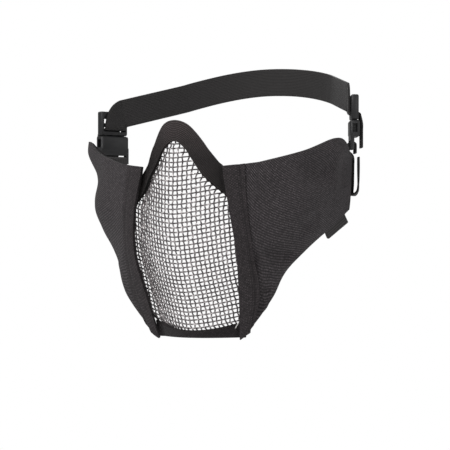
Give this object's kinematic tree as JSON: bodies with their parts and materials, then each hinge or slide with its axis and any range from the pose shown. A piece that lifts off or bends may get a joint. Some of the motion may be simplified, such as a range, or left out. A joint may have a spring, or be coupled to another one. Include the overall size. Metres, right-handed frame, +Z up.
{
  "type": "mesh face mask",
  "caption": "Half-face mask: a formed wire-mesh muzzle with a nose band, two padded cloth cheek panels with wings, and a strap round the head through side-release buckles.",
  "frame": {"origin": "where the inner face of the nose band rests on the bridge of the nose, level with the band's upper edge at the middle", "axes": "+Z up and -Y the way the wearer faces, so +X is the wearer's left"},
  "size_m": [0.2027, 0.189, 0.1925],
  "materials": {
    "mesh_wire": "black painted steel wire",
    "panel_cloth": "matt charcoal woven nylon",
    "band_webbing": "ribbed black webbing",
    "strap_elastic": "black woven elastic",
    "buckle_plastic": "fine-grained black moulding"
  },
  "bodies": {
    "root": {"mesh_panel": "mesh_wire", "nose_band": "band_webbing", "chin_strip": "band_webbing", "left_cheek_panel": "panel_cloth", "right_cheek_panel": "panel_cloth", "left_lower_tab": "band_webbing", "right_lower_tab": "band_webbing", "left_rear_web": "band_webbing", "right_rear_web": "band_webbing", "head_strap": "strap_elastic", "left_buckle_body": "buckle_plastic", "left_buckle_prong": "buckle_plastic", "right_buckle_body": "buckle_plastic", "right_buckle_prong": "buckle_plastic"}
  },
  "joints": []
}
